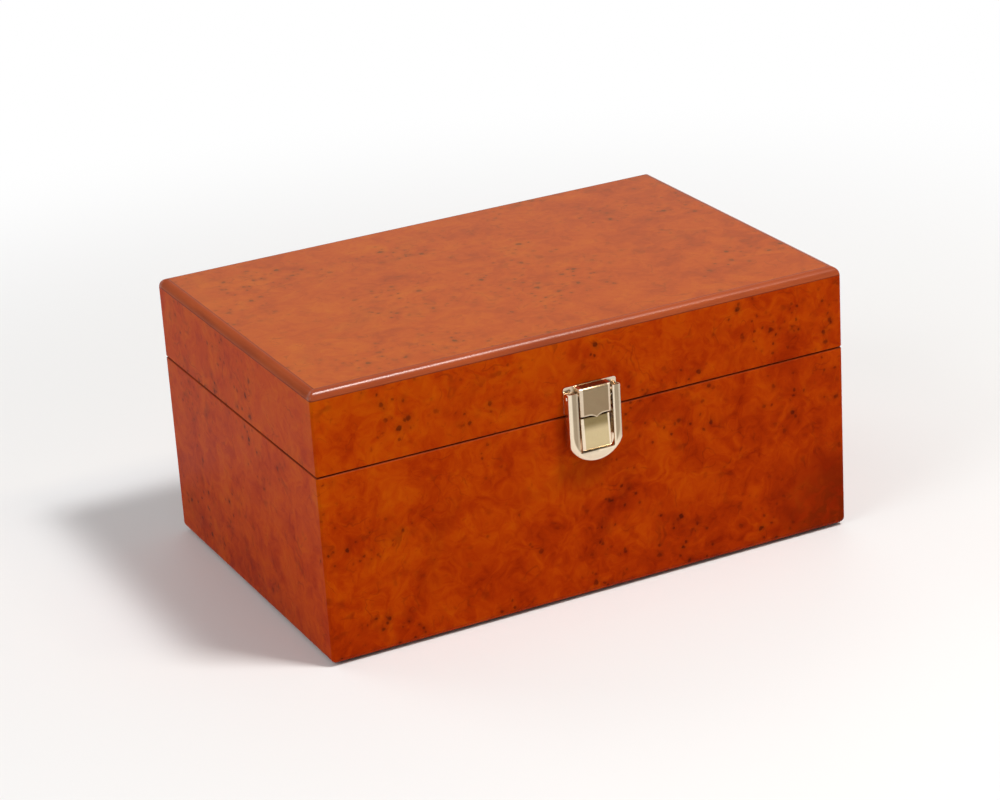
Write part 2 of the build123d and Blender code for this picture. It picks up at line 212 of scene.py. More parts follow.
# Colours of the burl under its lacquer. The ground runs from its darkest tone to its lightest.
GROUND = (
    (0.36, (0.245, 0.0150, 0.0006)),
    (0.45, (0.355, 0.0275, 0.0006)),
    (0.53, (0.430, 0.0455, 0.0007)),
    (0.62, (0.475, 0.0680, 0.0008)),
    (0.74, (0.505, 0.1000, 0.0012)),
)
SMOKE = (0.110, 0.0095, 0.0010)
VEIN = (0.110, 0.0110, 0.0018)
HALO = (0.130, 0.0100, 0.0014)
KNOT = (0.030, 0.0034, 0.0014)
FLECK = (0.100, 0.0095, 0.0016)
# Painted sheen: the paler tone the top is given for the light it reflects
TOP_PAINTED_SHEEN = (0.31, 0.125, 0.008)
STAINED_WOOD = ((0.30, (0.150, 0.0170, 0.0030)), (0.70, (0.270, 0.0360, 0.0060)))
EDGE_WOOD = ((0.30, (0.270, 0.0400, 0.0050)), (0.70, (0.370, 0.0620, 0.0080)))
EDGE_LINE = (0.090, 0.0080, 0.0012)

EYES = ((125.0, 0.15, 1.0), (240.0, 0.17, 0.8))  # each kind's cells to the metre, size and strength
DARK_FOOT, DARK_FOOT_REACH = (0.114, -0.080, 0.008), 0.040  # metres, at the foot of the front's right end
# The veneer gives way to plain wood from one depth to the other, below the walls and below the top
SKIN, INNER = 1.0, 1.4
TOP_SKIN, TOP_INNER = 6.5, 7.5


def burl_ground(f, x, z, figure):
    """Soft clouds, with painted light over them: a lighter, yellower orange at the left and above, and a
    darker, redder one at the right and below.
    """
    clouds = f.noise(55.0, 3.0, 0.5, 0.4, figure)
    swirl = f.noise(150.0, 4.0, 0.60, 1.2, figure)
    tone = f.scaled(swirl, 0.32, f.scaled(clouds, 0.37, 0.105))
    # Painted light: the tone rises to the left and upwards, as if the box were lit from the upper left
    tone = f.scaled(x, -0.28, f.scaled(z, 0.72, tone))
    smoke = f.step(f.noise(24.0, 3.0, 0.6, 0.8, figure), 0.56, 0.74)
    foot = f.times(f.near(DARK_FOOT, DARK_FOOT_REACH), f.step(swirl, 0.30, 0.60))
    smoke = f.highest(f.times(smoke, 0.15), f.times(foot, 0.75))
    return f.blend(smoke, f.ramp(tone, *GROUND), SMOKE)


def burl_marks(f, colour, figure):
    """The marks in the burl: thin broken veins, dark eyes that gather in places, and fine flecks."""
    # A vein runs where a swirling noise passes its middle
    vein = f.noise(70.0, 1.0, 0.5, 1.0, f.warped(0.014, 60.0))
    vein = f.step(f.size(f.math("SUBTRACT", vein, 0.5)), 0.030, 0.004)
    broken = f.step(f.noise(95.0, 2.0, 0.5), 0.48, 0.66)
    colour = f.blend(f.times(vein, broken, 0.34), colour, VEIN)
    # An eye is a small knot in a wider halo
    gather = f.step(f.noise(30.0, 2.0, 0.5, 0.6), 0.42, 0.66)
    for scale, size, strength in EYES:
        eyes = f.cells(scale, f.warped(0.35 / scale, 2.2 * scale))
        halo = f.step(eyes, size * 3.2, size * 0.6)
        colour = f.blend(f.times(halo, gather, 0.30 * strength), colour, HALO)
        knot = f.step(eyes, size * 1.25, size * 0.6)
        colour = f.blend(f.times(knot, gather, 0.72 * strength), colour, KNOT)
    fleck = f.step(f.noise(520.0, 3.0, 0.6, 1.2, figure), 0.60, 0.72)
    return f.blend(f.times(fleck, 0.24), colour, FLECK)


def burl_veneer():
    """Burl under a red-orange lacquer, with plain stained wood on the rims, the lid's edges and inside."""
    f = Finish("burl_veneer")
    x, y, z = f.axes()
    aside, along = f.size(x), f.size(y)
    figure = f.warped(0.016, 45.0)
    colour = burl_marks(f, burl_ground(f, x, z, figure), figure)
    # The lid's rounded edges
    over = f.step(z, MM * (HEIGHT - TOP_R - 0.2), MM * (HEIGHT - TOP_R + 0.5))
    outer_x, outer_y = (
        f.step(place, MM * (half - TOP_R - 0.1), MM * (half - TOP_R + 0.6))
        for place, half in ((aside, WIDTH / 2), (along, DEPTH / 2))
    )
    edge = f.times(over, f.highest(outer_x, outer_y))
    # The rims beside the seam, and all that lies inside
    rim = f.step(f.size(f.math("SUBTRACT", z, MM * SEAM)), MM * 0.55, MM * 0.45)
    within = f.times(
        f.step(aside, MM * (WIDTH / 2 - SKIN), MM * (WIDTH / 2 - INNER)),
        f.step(along, MM * (DEPTH / 2 - SKIN), MM * (DEPTH / 2 - INNER)),
        f.step(z, MM * (HEIGHT - TOP_SKIN), MM * (HEIGHT - TOP_INNER)),
    )
    grain = f.noise(260.0, 4.0, 0.6, 0.3, f.stretched(0.12, 0.12, 1.0))
    colour = f.blend(f.highest(edge, rim, within), colour, f.ramp(grain, *STAINED_WOOD))
    # The top is painted paler and yellower, a painted reflection of the light above, and a dark line parts
    # the edges from the veneer
    top = f.step(z, MM * (HEIGHT - 0.6), MM * (HEIGHT - 0.1))
    colour = f.blend(f.times(top, 0.28), colour, TOP_PAINTED_SHEEN)
    colour = f.blend(edge, colour, f.ramp(grain, *EDGE_WOOD))
    colour = f.blend(f.times(edge, f.math("SUBTRACT", 1.0, edge), 2.6), colour, EDGE_LINE)
    # The lacquer is glossiest on the two long edges
    gloss = f.highest(f.times(over, outer_y, 0.50), f.scaled(edge, 0.08, f.times(top, 0.05)))
    return f.done(
        Base_Color=colour,
        Roughness=f.scaled(edge, -0.15, 0.30),
        IOR=1.45,
        Specular_IOR_Level=0.02,
        Specular_Tint=(1.0, 0.65, 0.45),
        Coat_Weight=gloss,
        Coat_Roughness=0.24,
        Normal=f.bump(f.noise(700.0, 2.0), 0.000003),
    )


BURL = burl_veneer()


def dress(material, *names):
    """Gives a CAD node's faces this material."""
    for name in names:
        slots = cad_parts[name].data.materials
        slots.clear()
        slots.append(material)


WALLS = [f"{part}_{side}" for part in ("base", "lid") for side in ("front", "back", "left", "right")]
dress(BURL, "lid_top", *WALLS)


# Shaping by hand: every piece starts from a primitive at its size and place


def settle(name):
    """Fixes the new object's place in its mesh and names it."""
    piece = bpy.context.object
    piece.name = name
    bpy.ops.object.transform_apply(location=True, rotation=True, scale=True)
    return piece


def block(name, x, y, z):
    """A block between the two ends given for each axis."""
    bpy.ops.object.select_all(action="DESELECT")
    middle = [MM * (start + end) / 2 for start, end in (x, y, z)]
    size = [MM * abs(end - start) for start, end in (x, y, z)]
    bpy.ops.mesh.primitive_cube_add(size=1, location=middle, scale=size)
    return settle(name)


def rod(name, middle, radius, length, axis="X", sides=48, end_radius=None):
    """A round rod about a point, or a cone where it has an end radius."""
    bpy.ops.object.select_all(action="DESELECT")
    turn = {"X": (0, pi / 2, 0), "Y": (pi / 2, 0, 0), "Z": (0, 0, 0)}[axis]
    bpy.ops.mesh.primitive_cone_add(
        vertices=sides,
        radius1=MM * radius,
        radius2=MM * (radius if end_radius is None else end_radius),
        depth=MM * length,
        location=[MM * c for c in middle],
        rotation=turn,
    )
    return settle(name)


def edit(piece, kind, test):
    """Opens a piece in edit mode with what passes the test selected: test(middle in mm, direction)."""
    bpy.ops.object.select_all(action="DESELECT")
    piece.select_set(True)
    bpy.context.view_layer.objects.active = piece
    bpy.ops.object.mode_set(mode="EDIT")
    bpy.ops.mesh.select_mode(type=kind)
    bpy.ops.mesh.select_all(action="DESELECT")
    bpy.ops.object.mode_set(mode="OBJECT")
    mesh = piece.data
    if kind == "FACE":
        for face in mesh.polygons:
            face.select = bool(test(face.center / MM, face.normal))
    elif kind == "EDGE":
        for line in mesh.edges:
            start, end = (mesh.vertices[i].co for i in line.vertices)
            line.select = bool(test((start + end) / (2 * MM), (end - start).normalized()))
    else:
        for point in mesh.vertices:
            point.select = bool(test(point.co / MM, point.normal))
    bpy.ops.object.mode_set(mode="EDIT")


def close_edit():
    """Ends what edit began."""
    bpy.ops.object.mode_set(mode="OBJECT")


def round_edges(piece, radius, segments, test):
    """Bevels the edges that pass the test."""
    edit(piece, "EDGE", test)
    bpy.ops.mesh.bevel(offset=MM * radius, segments=segments, affect="EDGES")
    close_edit()


def apply(piece, kind, **settings):
    """Adds a modifier to a piece and applies it."""
    bpy.ops.object.select_all(action="DESELECT")
    piece.select_set(True)
    bpy.context.view_layer.objects.active = piece
    bpy.ops.object.modifier_add(type=kind)
    modifier = piece.modifiers[-1]
    for name, value in settings.items():
        setattr(modifier, name, value)
    bpy.ops.object.modifier_apply(modifier=modifier.name)


def join_or_cut(piece, operation, *tools):
    """A boolean of a piece with each tool, which is then thrown away."""
    for tool in tools:
        apply(piece, "BOOLEAN", operation=operation, object=tool, solver="EXACT")
        bpy.data.objects.remove(tool)
    return piece


def cut(piece, *tools):
    return join_or_cut(piece, "DIFFERENCE", *tools)


def add(piece, *tools):
    return join_or_cut(piece, "UNION", *tools)


def soften(piece, radius):
    """Breaks every sharp edge and shades the rest smooth."""
    apply(piece, "WELD", merge_threshold=MM * 0.002)
    apply(
        piece,
        "BEVEL",
        width=MM * radius,
        segments=2,
        limit_method="ANGLE",
        angle_limit=radians(32.0),
        use_clamp_overlap=True,
    )
    bpy.ops.object.shade_smooth_by_angle(angle=radians(40.0))
    return piece


def stands_for(piece, body, material, slot, *nodes):
    """The piece takes the place of these CAD nodes on their body."""
    piece.data.materials.clear()
    piece.data.materials.append(material)
    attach(piece, body)
    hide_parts(*nodes)


# Clip on the front. Heights are counted from the seam, upwards, and depths out from the front.

FRONT = -DEPTH / 2
CLIP_HALF = 12.0
SHEET = 0.8  # the pressed metal
HASP_BACK, HASP_FRONT = 1.0, 5.4
HASP_TOP, SHOULDER, HASP_END = 10.8, -12.6, -20.1
HASP_ARC_R, HASP_CORNER_R = 13.35, 4.0
PIVOT_UP, PIVOT_OUT = 8.6, 3.2
PIN_R, PIN_FIT = 0.8, 0.05
WINDOW_HALF, WINDOW_FOOT = 7.9, -15.3
LIP_HALF, LIP_DEEP = 6.5, 2.5  # the lip that snaps under the catch's ridge
EARS_TOP, EARS_FOOT = 12.5, 0.8
BLOCK_HALF, BLOCK_OUT = 7.2, 5.8  # the raised block of the lid's plate
TAB_HALF, TAB_DROP, TAB_BEND = 3.2, 1.3, 1.8  # the point below it: half its width, its depth, its bend
CATCH_HALF, CATCH_TOP, CATCH_FOOT = 10.0, -0.6, -18.0
RAISED_HALF, RAISED_OUT, RAISED_FOOT = 6.8, 4.7, -14.6  # the catch's raised block
NAIL_HOLE_R, NAIL_R = 0.65, 0.6
NAIL_HEAD_R, NAIL_HEAD = 1.2, 0.6
NAIL_SHANK, NAIL_POINT, NAIL_TIP = 5.3, 1.2, 0.15
LID_NAILS = [(-9.6, 4.2), (9.6, 4.2)]
CATCH_NAILS = [(-8.4, -4.0), (8.4, -4.0), (0.0, -16.3)]
PAST = 13.0  # half the length of a block that cuts right across the clip


def clip_block(name, x, up, out):
    """A block of the clip between two ends across, two heights and two depths."""
    return block(name, x, [FRONT - d for d in out], [SEAM + h for h in up])


def clip_rod(name, up, out, radius, half, sides=40):
    """A rod across the clip, of this half length."""
    return rod(name, (0, FRONT - out, SEAM + up), radius, 2 * half, "X", sides)


def hasp_form(name, inset, out):
    """The outline of the hasp as a solid: straight sides and an end that is an arc with soft corners."""
    half, arc, corner = CLIP_HALF - inset, HASP_ARC_R - inset, HASP_CORNER_R - inset
    arc_up, corner_x = HASP_END + HASP_ARC_R, CLIP_HALF - HASP_CORNER_R
    fall = ((HASP_ARC_R - HASP_CORNER_R) ** 2 - corner_x**2) ** 0.5
    meet = atan2(corner_x, fall)
    length = arc * meet + corner * (pi / 2 - meet)
    form = clip_block(name, (-half, half), (HASP_END + inset, HASP_TOP + inset), out)
    edit(form, "EDGE", lambda c, d: abs(d.x) > 0.9 and c.z < SEAM)
    bpy.ops.mesh.subdivide(number_cuts=39)
    close_edit()
    # Each point of the straight end moves to the same share of the way along the arc and round its corner
    for vertex in form.data.vertices:
        if vertex.co.z < MM * (SEAM + HASP_END + inset + 0.01):
            way = abs(vertex.co.x) / (MM * half) * length
            side = 1 if vertex.co.x > 0 else -1
            if way < arc * meet:
                x, up = arc * sin(way / arc), arc_up - arc * cos(way / arc)
            else:
                turn = meet + (way - arc * meet) / corner
                x, up = corner_x + corner * sin(turn), arc_up - fall - corner * cos(turn)
            vertex.co.x, vertex.co.z = side * MM * x, MM * (SEAM + up)
    return form


def hasp():
    """The pressed frame that hangs on the pin and snaps over the catch."""
    piece = hasp_form("clip_hasp_frame", 0.0, (HASP_BACK, HASP_FRONT))
    face, top = FRONT - HASP_FRONT, HASP_TOP + 2
    round_edges(piece, 1.3, 6, lambda c, d: abs(c.y - face) < 0.01 and c.z < SEAM + HASP_TOP - 0.1)
    inner, behind = CLIP_HALF - SHEET, HASP_FRONT - SHEET
    window = clip_block("window", (-WINDOW_HALF, WINDOW_HALF), (WINDOW_FOOT, top), (0, HASP_FRONT + 2))
    round_edges(window, 0.8, 4, lambda c, d: abs(d.y) > 0.9 and c.z < SEAM)
    ends = clip_block("ends", (-PAST, PAST), (PIVOT_UP, top), (0, behind))
    cut(ends, clip_rod("turn", PIVOT_UP, PIVOT_OUT, PIVOT_OUT - HASP_BACK, PAST + 1))
    cut(
        piece,
        hasp_form("hollow", SHEET, (-1, behind)),
        clip_block("between_arms", (-inner, inner), (0, top), (-1, behind)),
        window,
        ends,
        clip_block("lift", (-PAST, PAST), (HASP_END - 1, SHOULDER), (-1, HASP_BACK + 2.0)),
    )
    lip_heights = (WINDOW_FOOT - SHEET, WINDOW_FOOT + 0.05)
    add(piece, clip_block("lip", (-LIP_HALF, LIP_HALF), lip_heights, (behind - LIP_DEEP, behind + 0.1)))
    cut(piece, clip_rod("bore", PIVOT_UP, PIVOT_OUT, PIN_R + PIN_FIT, PAST + 1))
    return soften(piece, 0.16)


def lid_plate():
    """The plate on the lid: two flat ears and the raised block, whose lower edge comes to a point."""
    piece = clip_block("clip_lid_plate_pressed", (-CLIP_HALF, CLIP_HALF), (EARS_FOOT, EARS_TOP), (0, SHEET))
    round_edges(piece, 1.0, 5, lambda c, d: abs(d.y) > 0.9)
    raised = clip_block("raised", (-BLOCK_HALF, BLOCK_HALF), (0.4, EARS_TOP - 0.2), (0, BLOCK_OUT))
    round_edges(raised, 1.4, 6, lambda c, d: c.y < FRONT - BLOCK_OUT + 0.1 and c.z > SEAM + 1)
    add(piece, raised, pointed_tab())
    inside = BLOCK_HALF - SHEET
    cut(piece, clip_block("behind", (-inside, inside), (-2, EARS_TOP - 1.0), (-1, BLOCK_OUT - SHEET)))
    cut(piece, clip_rod("bore", PIVOT_UP, PIVOT_OUT, PIN_R + PIN_FIT, PAST + 1))
    for x, up in LID_NAILS:
        cut(piece, rod("hole", (x, FRONT, SEAM + up), NAIL_HOLE_R, 4, "Y", 24))
    return soften(piece, 0.14)


def pointed_tab():
    """A thin point below the block: a plate whose lower edge is drawn down in the middle."""
    low, high = 0.41, 0.9
    tab = clip_block("tab", (-TAB_HALF, TAB_HALF), (low, high), (BLOCK_OUT - SHEET, BLOCK_OUT))
    edit(tab, "EDGE", lambda c, d: abs(d.x) > 0.9)
    bpy.ops.mesh.subdivide(number_cuts=15)
    close_edit()
    for vertex in tab.data.vertices:
        if vertex.co.z < MM * (SEAM + (low + high) / 2):
            share = 1 - abs(vertex.co.x) / (MM * TAB_HALF)
            vertex.co.z -= MM * TAB_DROP * share**TAB_BEND
    return tab


def catch():
    """The plate on the base with the raised block that the window closes over."""
    piece = clip_block("clip_catch_pressed", (-CATCH_HALF, CATCH_HALF), (CATCH_FOOT, CATCH_TOP), (0, SHEET))
    round_edges(piece, 5.0, 8, lambda c, d: abs(d.y) > 0.9 and c.z < SEAM - 10)
    round_edges(piece, 1.0, 5, lambda c, d: abs(d.y) > 0.9 and c.z > SEAM - 1)
    raised = clip_block("raised", (-RAISED_HALF, RAISED_HALF), (RAISED_FOOT, CATCH_TOP), (0, RAISED_OUT))
    # Its face leans back towards the foot
    edit(raised, "FACE", lambda c, n: n.y < -0.9)
    bpy.ops.transform.rotate(
        value=radians(4.0),
        orient_axis="X",
        center_override=(0, MM * (FRONT - RAISED_OUT), MM * (SEAM + CATCH_TOP)),
    )
    close_edit()
    round_edges(raised, 1.1, 6, lambda c, d: c.y < FRONT - 3.0)
    add(piece, raised, clip_rod("ridge", RAISED_FOOT, 2.2, 0.5, 5.0, 24))
    inside = RAISED_HALF - SHEET
    cut(piece, clip_block("behind", (-inside, inside), (RAISED_FOOT + SHEET, CATCH_TOP - SHEET), (-1, 2.9)))
    for x, up in CATCH_NAILS:
        cut(piece, rod("hole", (x, FRONT, SEAM + up), NAIL_HOLE_R, 4, "Y", 24))
    return soften(piece, 0.14)


CLIP_PAINTED_HIGHLIGHT = (0.85, 0.71, 0.53)  # painted highlight, where the plating's edges catch the light
# Painted shade on the flats between the painted highlights
CLIP_PAINTED_SHADE = (0.36, 0.275, 0.180)
# The raised block's face in a dark painted reflection, and the painted highlight on its edges
BLOCK_PAINTED_REFLECTION, BLOCK_PAINTED_HIGHLIGHT = (0.285, 0.205, 0.120), (0.70, 0.57, 0.42)
# The catch's face, and the painted shade cast on it by the lid's block
CATCH_FACE, CATCH_PAINTED_SHADE = (0.60, 0.475, 0.265), (0.26, 0.190, 0.085)
BLACK = (0.0, 0.0, 0.0)


def nickel(name, roughness, shade):
    """Plated metal, faintly brushed, with duller patches. The shade is a colour or works one out."""
    f = Finish(name)
    grain = f.noise(900.0, 3.0, 0.6, place=f.stretched(1.0, 1.0, 0.06))
    patches = f.noise(190.0, 3.0, 0.55)
    tone = f.scaled(grain, 0.10, f.scaled(patches, 0.22, 0.84))
    return f.done(
        Base_Color=f.blend(tone, BLACK, shade(f) if callable(shade) else shade),
        Metallic=1.0,
        Roughness=f.scaled(grain, 0.10, f.scaled(patches, 0.14, roughness - 0.1)),
        Normal=f.bump(grain, 0.000003),
    )


def from_seam(f, z, first, second):
    """0 at the first and 1 at the second of two heights from the seam, soft in between."""
    return f.step(z, MM * (SEAM + first), MM * (SEAM + second))


def hasp_painted_light(f):
    """Painted highlights along the outline, beside the window and below it, and painted shade between them
    on the two arms.
    """
    x, y, z = f.axes()
    fall = f.math("MINIMUM", f.math("SUBTRACT", z, MM * (SEAM + HASP_END + HASP_ARC_R)), 0.0)
    fall = f.times(fall, CLIP_HALF / HASP_ARC_R)
    reach = f.math("SQRT", f.scaled(x, x, f.times(fall, fall)))
    outline = f.step(reach, MM * 10.2, MM * 10.9)
    beside = f.times(f.step(f.size(x), MM * 8.9, MM * 8.5), from_seam(f, z, -16.6, -16.0))
    # The painted highlights are weaker on the left arm's inner side and on the right arm's outer side, a
    # painted reflection of light from the left
    right = f.step(x, -MM, MM)
    arms = from_seam(f, z, -15.0, -10.0)
    beside = f.times(beside, f.scaled(right, 0.75, 0.25))
    outline = f.math("SUBTRACT", outline, f.times(outline, 0.5, right, arms))
    below = f.times(from_seam(f, z, -14.2, -16.4), 0.85)
    return f.blend(f.highest(outline, beside, below), CLIP_PAINTED_SHADE, CLIP_PAINTED_HIGHLIGHT)


def plate_painted_light(f):
    """Painted light: a dark painted reflection on the face of the raised block, and painted highlights at
    its sides, along its point and on the ears.
    """
    x, y, z = f.axes()
    aside = f.size(x)
    share = f.highest(f.scaled(aside, -1 / (MM * TAB_HALF), 1.0), 0.0)
    above = f.scaled(f.math("POWER", share, TAB_BEND), MM * TAB_DROP, z)
    lower_edge = f.times(from_seam(f, above, 1.05, 0.75), 0.75)
    return f.blend(f.highest(f.step(aside, MM * 5.5, MM * 5.9), lower_edge), BLOCK_PAINTED_REFLECTION, BLOCK_PAINTED_HIGHLIGHT)


def catch_painted_light(f):
    """Brassy on its face, with painted shade in brown just under the lid's block and painted highlights at
    the sides.
    """
    x, y, z = f.axes()
    face = f.blend(from_seam(f, z, -7.0, -3.2), CATCH_FACE, CATCH_PAINTED_SHADE)
    return f.blend(f.step(f.size(x), MM * 5.2, MM * 5.6), face, CLIP_PAINTED_HIGHLIGHT)


def pivot_pin():
    """The pin that the hasp turns on, its ends a little domed."""
    pin = clip_rod("clip_pin_turned", PIVOT_UP, PIVOT_OUT, PIN_R, CLIP_HALF + 0.3, 32)
    round_edges(pin, 0.28, 3, lambda c, d: abs(c.x) > CLIP_HALF)
    bpy.ops.object.shade_smooth_by_angle(angle=radians(40.0))
    return pin


def nail(name, x, up):
    """A round-headed nail through a plate: a domed head over a shank that ends in a point."""
    crown = FRONT - SHEET - NAIL_HEAD
    piece = rod(name, (x, crown + NAIL_HEAD / 2, SEAM + up), NAIL_HEAD_R, NAIL_HEAD, "Y", 32)
    round_edges(piece, 0.5, 4, lambda c, d: c.y < crown + 0.05)
    edit(piece, "FACE", lambda c, n: n.y > 0.9)
    bpy.ops.mesh.inset(thickness=MM * (NAIL_HEAD_R - NAIL_R))
    for length, share in ((NAIL_SHANK, 1.0), (NAIL_POINT, NAIL_TIP)):
        bpy.ops.mesh.extrude_region_move(TRANSFORM_OT_translate={"value": (0, MM * length, 0)})
        bpy.ops.transform.resize(value=(share, 1, share), center_override=(MM * x, 0, MM * (SEAM + up)))
    close_edit()
    bpy.ops.object.shade_smooth_by_angle(angle=radians(50.0))
    return piece


def joined(name, pieces):
    """Several pieces made one mesh, each still a solid of its own."""
    bpy.ops.object.select_all(action="DESELECT")
    for piece in pieces:
        piece.select_set(True)
    bpy.context.view_layer.objects.active = pieces[0]
    bpy.ops.object.join()
    pieces[0].name = name
    return pieces[0]


CLIP_METAL = nickel("clip_nickel", 0.20, hasp_painted_light)
PLATE_METAL = nickel("plate_nickel", 0.22, plate_painted_light)
CATCH_METAL = nickel("catch_nickel", 0.22, catch_painted_light)
PIN_METAL = nickel("pin_nickel", 0.18, (0.80, 0.70, 0.57))
NAIL_METAL = nickel("nail_steel", 0.28, (0.70, 0.66, 0.60))
stands_for(hasp(), "hasp", CLIP_METAL, "clip_nickel", "clip_hasp")
stands_for(lid_plate(), "lid", PLATE_METAL, "clip_nickel", "clip_lid_plate")
stands_for(catch(), "base", CATCH_METAL, "clip_nickel", "clip_catch")
stands_for(pivot_pin(), "lid", PIN_METAL, "clip_nickel", "clip_pin")
NAILS = {
    "clip_lid_nails": ("lid", LID_NAILS),
    "clip_catch_nails": ("base", CATCH_NAILS),
}
for node, (body, places) in NAILS.items():
    made = [nail(f"nail_{i}", x, up) for i, (x, up) in enumerate(places)]
    stands_for(joined(f"{node}_domed", made), body, NAIL_METAL, "nail_steel", node)


# Hinges on the back: the leaves and pins are the CAD's own, made to look like brass, with screws in them

HINGE_X = (-72.0, 72.0)
SCREW_ASIDE = 8.0  # from the middle of a hinge
RIM_ABOVE_SEAM = 0.2
SCREW_R, SCREW_HEAD_R, SCREW_HEAD = 1.0, 1.9, 0.9
SCREW_SHANK, SCREW_POINT, SCREW_TIP = 6.6, 1.5, 0.2
SLOT_HALF, SLOT_DEEP = 0.25, 0.4


def screw(name, x, side):
    """A slotted countersunk screw, its head level with the leaf in the rim."""
    rim, y = SEAM + side * RIM_ABOVE_SEAM, DEPTH / 2 - WALL / 2
    ends = (SCREW_HEAD_R, SCREW_R) if side > 0 else (SCREW_R, SCREW_HEAD_R)
    piece = rod(name, (x, y, rim + side * SCREW_HEAD / 2), ends[0], SCREW_HEAD, "Z", 40, ends[1])
    edit(piece, "FACE", lambda c, n: n.z * side > 0.9)
    for length, share in ((SCREW_SHANK, 1.0), (SCREW_POINT, SCREW_TIP)):
        bpy.ops.mesh.extrude_region_move(TRANSFORM_OT_translate={"value": (0, 0, side * MM * length)})
        bpy.ops.transform.resize(value=(share, share, 1), center_override=(MM * x, MM * y, 0))
    close_edit()
    slot_heights = (rim - side, rim + side * SLOT_DEEP)
    cut(piece, block("slot", (x - 3, x + 3), (y - SLOT_HALF, y + SLOT_HALF), slot_heights))
    bpy.ops.object.shade_smooth_by_angle(angle=radians(35.0))
    return piece


def brass():
    """Brass that has been handled: a fine grain along the hinge and a browner tone in patches."""
    f = Finish("hinge_brass")
    grain = f.noise(1100.0, 3.0, 0.6, place=f.stretched(0.05, 1.0, 1.0))
    patches = f.noise(230.0, 4.0, 0.6)
    shade = f.ramp(patches, (0.32, (0.52, 0.34, 0.12)), (0.62, (0.78, 0.55, 0.22)))
    shade = f.blend(f.times(grain, 0.30), shade, (0.42, 0.27, 0.09))
    rough = f.scaled(grain, 0.12, f.scaled(patches, 0.16, 0.14))
    return f.done(Base_Color=shade, Metallic=1.0, Roughness=rough, Normal=f.bump(grain, 0.000004))


BRASS = brass()
SCREW_METAL = nickel("screw_steel", 0.26, (0.80, 0.66, 0.42))
for body, side in (("base", -1), ("lid", 1)):
    made = [screw(f"screw_{x:.0f}_{s}", x + s * SCREW_ASIDE, side) for x in HINGE_X for s in (-1, 1)]
    node = f"hinge_{body}_screws"
    stands_for(joined(f"{node}_slotted", made), body, SCREW_METAL, "screw_steel", node)
for side in ("left", "right"):
    dress(BRASS, *[f"hinge_{side}_{part}" for part in ("base_leaf", "lid_leaf", "pin")])


# Baize and felt: thin cloth on the walls, the floors, the divider and the lid, and under the box

INSIDE_X, INSIDE_Y = WIDTH - 2 * WALL, DEPTH - 2 * WALL
LINING = 1.2
FLOOR = FELT + 5.0  # the upper side of the bottom board
COVER_HALF, COVER_TOP, COVER_THICK = 3.3, 69.1, 0.8  # the baize over the divider
BASE_EDGE, LID_EDGE = 79.8, 83.2  # where the wall linings end, short of the rims
CEILING = 108.0
CORNER_TURN = 2.5  # how softly the cloth turns in a corner
FELT_INSET, FELT_R = 7.0, 5.0


def cloth(name, colour, dark, pile):
    """Woollen cloth: a short matted pile in two tones, with a soft sheen."""
    f = Finish(name)
    fibres = f.noise(2600.0, 4.0, 0.7, 0.8)
    nap = f.noise(60.0, 3.0, 0.6, 0.5)
    lint = f.step(f.noise(1500.0, 2.0, 0.5, 2.0), 0.70, 0.80)
    shade = f.blend(f.scaled(nap, 0.35, f.times(fibres, 0.6)), dark, colour)
    shade = f.blend(f.times(lint, 0.25), shade, tuple(c * 2.2 for c in colour))
    return f.done(
        Base_Color=shade,
        Roughness=0.95,
        Specular_IOR_Level=0.2,
        Sheen_Weight=0.22,
        Sheen_Roughness=0.5,
        Sheen_Tint=(0.55, 0.85, 0.60),
        Normal=f.bump(f.scaled(nap, 1.5, fibres), pile),
    )


def plywood():
    """Plain pale board under the cloth, grain along the box."""
    f = Finish("inner_board")
    grain = f.noise(320.0, 5.0, 0.6, 0.4, f.stretched(0.05, 1.0, 1.0))
    shade = f.ramp(grain, (0.30, (0.36, 0.22, 0.11)), (0.70, (0.58, 0.40, 0.22)))
    return f.done(Base_Color=shade, Roughness=0.65, Normal=f.bump(grain, 0.00004))


def ripple(piece, height, test):
    """Gives the cloth a smooth unevenness where the test lets it."""
    for vertex in piece.data.vertices:
        p = vertex.co / MM
        if test(p):
            wave = sin(p.x / 9.0 + 1.3 * sin(p.y / 17.0)) + sin(p.y / 11.0 + 0.9 * sin(p.z / 8.0))
            wave += sin(p.z / 6.0 + p.x / 23.0)
            vertex.co += vertex.normal * MM * height * wave / 3


def thicken(piece, thick, edge=0.3):
    """Gives a surface of cloth its thickness on the side away from its normals, and soft edges."""
    apply(piece, "SOLIDIFY", thickness=MM * thick, offset=-1.0, use_even_offset=True)
    apply(piece, "BEVEL", width=MM * edge, segments=3, limit_method="ANGLE", angle_limit=radians(50.0))
    bpy.ops.object.shade_smooth_by_angle(angle=radians(50.0))
    return piece


def slice_at(piece, place, normal):
    """Cuts new edges into a surface where a plane crosses it, place in mm."""
    edit(piece, "FACE", lambda c, n: True)
    bpy.ops.mesh.bisect(plane_co=[MM * c for c in place], plane_no=normal)
    close_edit()


def drop_faces(piece, test):
    """Deletes the faces that pass the test."""
    edit(piece, "FACE", test)
    bpy.ops.mesh.delete(type="FACE")
    close_edit()


def divide_edges(piece, cuts, test):
    """Cuts the edges that pass the test, and the faces between them, into equal lengths."""
    edit(piece, "EDGE", test)
    bpy.ops.mesh.subdivide(number_cuts=cuts)
    close_edit()


